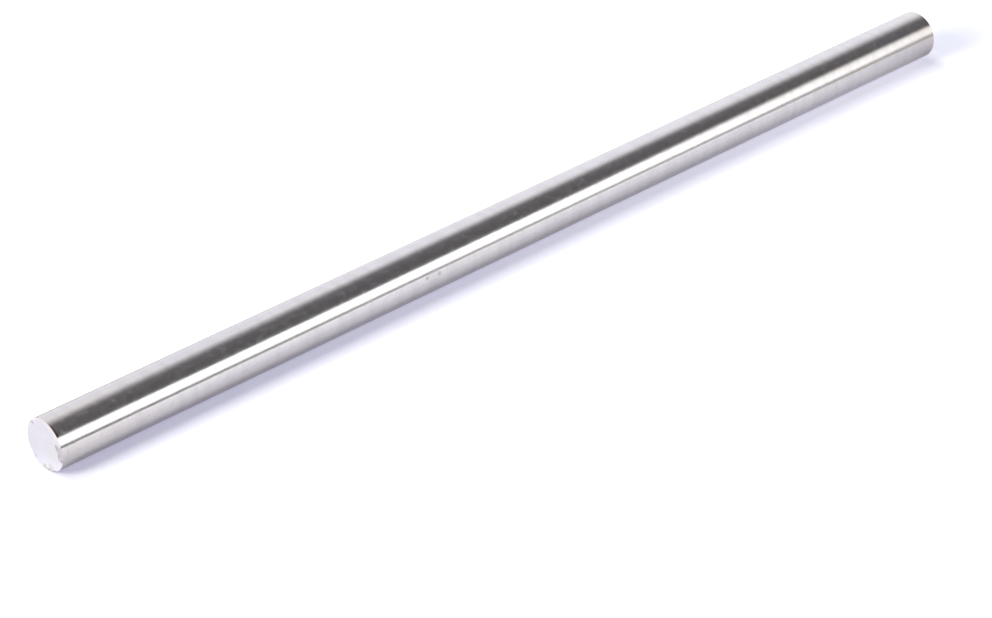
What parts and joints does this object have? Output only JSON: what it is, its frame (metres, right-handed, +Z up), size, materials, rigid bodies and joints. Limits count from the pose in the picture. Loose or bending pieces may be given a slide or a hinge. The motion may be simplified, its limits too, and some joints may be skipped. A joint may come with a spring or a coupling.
{
  "type": "round metal bar",
  "caption": "Straight length of bright ground round steel bar, cut square and lightly bevelled at its ends.",
  "frame": {"origin": "on the bar's axis, halfway along it", "axes": "+X along the bar, from the end with hand-ground flats on its rim to the evenly bevelled end; +Z up, with the bar lying level"},
  "size_m": [0.5, 0.022, 0.022],
  "materials": {
    "bright_steel": "bright ground and finely polished all round, with paler, duller hand-ground end faces"
  },
  "bodies": {
    "root": {"round_bar": "bright_steel"}
  },
  "joints": []
}
